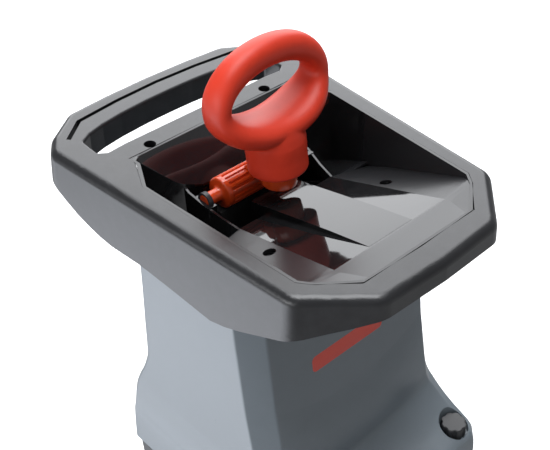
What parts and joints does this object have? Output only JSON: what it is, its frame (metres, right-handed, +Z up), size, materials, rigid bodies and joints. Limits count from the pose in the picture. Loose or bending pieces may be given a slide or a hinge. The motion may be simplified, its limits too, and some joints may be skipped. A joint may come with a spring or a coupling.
{
  "type": "electric garden shredder",
  "caption": "Upright electric garden shredder: black hopper tray with carry slot, red ring pusher, grey column, cutting disc and motor housing on a wheeled tube stand.",
  "frame": {"origin": "on the ground, midway between the rearmost tyre point and the foremost foot point, on the symmetry plane of the hopper", "axes": "+Z up; -Y is the front, where the hopper's low feeding lip and the discharge chute face; +Y is the rear, with the carry handle and the wheels; +X is the side with the switch box"},
  "size_m": [0.53, 0.5728, 1.0603],
  "materials": {
    "tray_black": "fine textured, satin",
    "funnel_gloss": "polished",
    "housing_grey": "fine textured, satin",
    "base_black": "fine textured",
    "red_grip": "soft matte",
    "red_gloss": "glossy",
    "bush_black": "plain moulded",
    "pad_black": "soft",
    "steel": "ground",
    "zinc": "zinc plated",
    "motor_iron": "laminated",
    "alloy": "die cast",
    "stand_paint": "powder coated, satin",
    "foot_rubber": "moulded",
    "tyre": "moulded tread",
    "button_green": "moulded",
    "button_red": "moulded"
  },
  "bodies": {
    "base": {"base_housing": "base_black", "interlock_switch": "base_black", "discharge_chute": "base_black", "flap_pin": "zinc", "motor_cover": "base_black", "motor_stator": "motor_iron", "motor_brackets": "alloy", "upper_bearing": "steel", "lower_bearing": "steel", "switch_box": "base_black", "mains_inlet": "base_black", "stand_leg_left": "stand_paint", "stand_leg_right": "stand_paint", "stand_bolts": "zinc", "foot_left": "foot_rubber", "foot_right": "foot_rubber", "front_crossbar": "stand_paint", "axle": "zinc", "axle_washer_left": "zinc", "axle_washer_right": "zinc", "hub_cap_left": "base_black", "hub_cap_right": "base_black", "housing_screws": "zinc", "hopper_hinge_pin": "zinc"},
    "hopper": {"hopper_tray": "tray_black", "feed_funnel": "funnel_gloss", "feed_duct": "base_black", "upper_housing": "housing_grey", "hopper_screws": "zinc", "counter_knife": "steel", "counter_knife_bracket": "zinc", "counter_knife_screws": "zinc"},
    "pusher_bushes": {"pusher_bush_left": "bush_black", "pusher_bush_right": "bush_black"},
    "pusher": {"pusher_handle": "red_grip", "pusher_hub": "red_gloss", "handle_bolt": "zinc", "pusher_pad": "pad_black"},
    "rotor": {"motor_shaft": "steel", "motor_rotor": "motor_iron", "cutting_disc": "steel", "blades": "steel", "blade_bolts": "zinc", "disc_nut": "zinc"},
    "flap": {"discharge_flap": "base_black"},
    "knob_left": {"locking_knob_left": "base_black", "locking_stud_left": "zinc"},
    "knob_right": {"locking_knob_right": "base_black", "locking_stud_right": "zinc"},
    "start": {"start_button": "button_green"},
    "stop": {"stop_button": "button_red"},
    "reset": {"reset_button": "base_black"},
    "wheel_left": {"wheel_rim_left": "base_black", "tyre_left": "tyre"},
    "wheel_right": {"wheel_rim_right": "base_black", "tyre_right": "tyre"}
  },
  "joints": [
    {"name": "hopper_open", "type": "hinge", "parent": "base", "child": "hopper", "pos_m": [0, 0.119, 0.586], "axis": [-1, 0, 0], "range_deg": [0, 70]},
    {"name": "pusher_lift", "type": "slide", "parent": "hopper", "child": "pusher_bushes", "axis": [0, 0, 1], "range_m": [0, 0.22]},
    {"name": "pusher_rock", "type": "hinge", "parent": "pusher_bushes", "child": "pusher", "pos_m": [0, 0.045, 0.914], "axis": [-1, 0, 0], "range_deg": [0, 35]},
    {"name": "rotor_spin", "type": "hinge", "parent": "base", "child": "rotor", "pos_m": [0, -0.03, 0.5], "axis": [0, 0, 1], "continuous": true},
    {"name": "flap_swing", "type": "hinge", "parent": "base", "child": "flap", "pos_m": [0, -0.2435, 0.4745], "axis": [-1, 0, 0], "range_deg": [0, 60]},
    {"name": "knob_left_turn", "type": "hinge", "parent": "hopper", "child": "knob_left", "pos_m": [-0.103, -0.148, 0.635], "axis": [0, 0, 1], "continuous": true},
    {"name": "knob_right_turn", "type": "hinge", "parent": "hopper", "child": "knob_right", "pos_m": [0.103, -0.148, 0.635], "axis": [0, 0, 1], "continuous": true},
    {"name": "start_press", "type": "slide", "parent": "base", "child": "start", "axis": [-1, 0, 0], "range_m": [0, 0.003]},
    {"name": "stop_press", "type": "slide", "parent": "base", "child": "stop", "axis": [-1, 0, 0], "range_m": [0, 0.003]},
    {"name": "reset_press", "type": "slide", "parent": "base", "child": "reset", "axis": [-1, 0, 0], "range_m": [0, 0.002]},
    {"name": "wheel_left_spin", "type": "hinge", "parent": "base", "child": "wheel_left", "pos_m": [-0.232, 0.1965, 0.09], "axis": [1, 0, 0], "continuous": true},
    {"name": "wheel_right_spin", "type": "hinge", "parent": "base", "child": "wheel_right", "pos_m": [0.232, 0.1965, 0.09], "axis": [1, 0, 0], "continuous": true}
  ]
}
